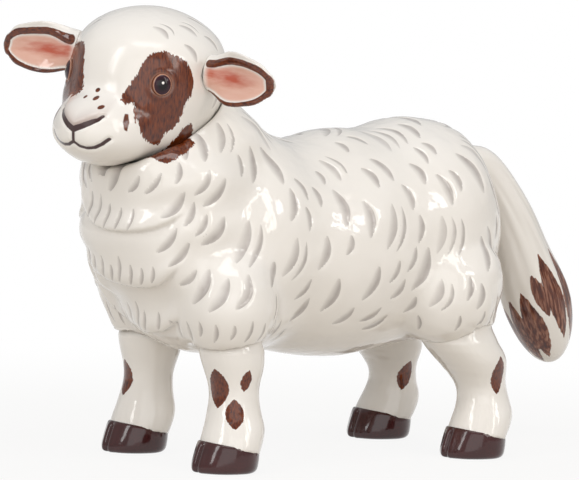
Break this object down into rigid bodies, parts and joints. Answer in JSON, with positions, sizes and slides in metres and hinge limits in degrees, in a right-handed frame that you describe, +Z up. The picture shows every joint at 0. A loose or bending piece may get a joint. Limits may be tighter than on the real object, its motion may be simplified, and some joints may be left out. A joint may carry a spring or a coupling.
{
  "type": "lamb figurine",
  "caption": "Standing lamb ornament with a carved fleece body, turned smooth head, leaf ears, bead eyes, hanging tail and legs on dark hooves, pinned together from separate gloss castings",
  "frame": {"origin": "On the ground under the middle of the whole figure's outline", "axes": "+Z up, the face looks along -Y, the lamb's left side is +X"},
  "size_m": [0.1204, 0.2637, 0.1849],
  "materials": {
    "fleece_white": "cast resin, off-white, grey stain in the carved fleece, gloss lacquer",
    "face_white": "cast resin, off-white with brown painted patches, gloss lacquer",
    "ear_pink": "cast resin, white outside, pink inside with a brown rim, gloss lacquer",
    "tail_white": "cast resin, off-white with brown brush strokes at the end, gloss lacquer",
    "leg_white": "cast resin, off-white with a few brown spots, gloss lacquer",
    "hoof_brown": "cast resin, dark brown, gloss lacquer",
    "eye_bead": "domed bead, near-black brown, polished",
    "beech_dowel": "plain turned dowel",
    "steel_rod": "plain drawn rod"
  },
  "bodies": {
    "root": {"fleece_body": "fleece_white", "head": "face_white", "neck_dowel": "beech_dowel", "left_ear": "ear_pink", "right_ear": "ear_pink", "left_eye": "eye_bead", "right_eye": "eye_bead", "tail": "tail_white", "front_left_leg": "leg_white", "front_right_leg": "leg_white", "rear_left_leg": "leg_white", "rear_right_leg": "leg_white", "front_left_hoof": "hoof_brown", "front_right_hoof": "hoof_brown", "rear_left_hoof": "hoof_brown", "rear_right_hoof": "hoof_brown", "front_left_rod": "steel_rod", "front_right_rod": "steel_rod", "rear_left_rod": "steel_rod", "rear_right_rod": "steel_rod"}
  },
  "joints": []
}
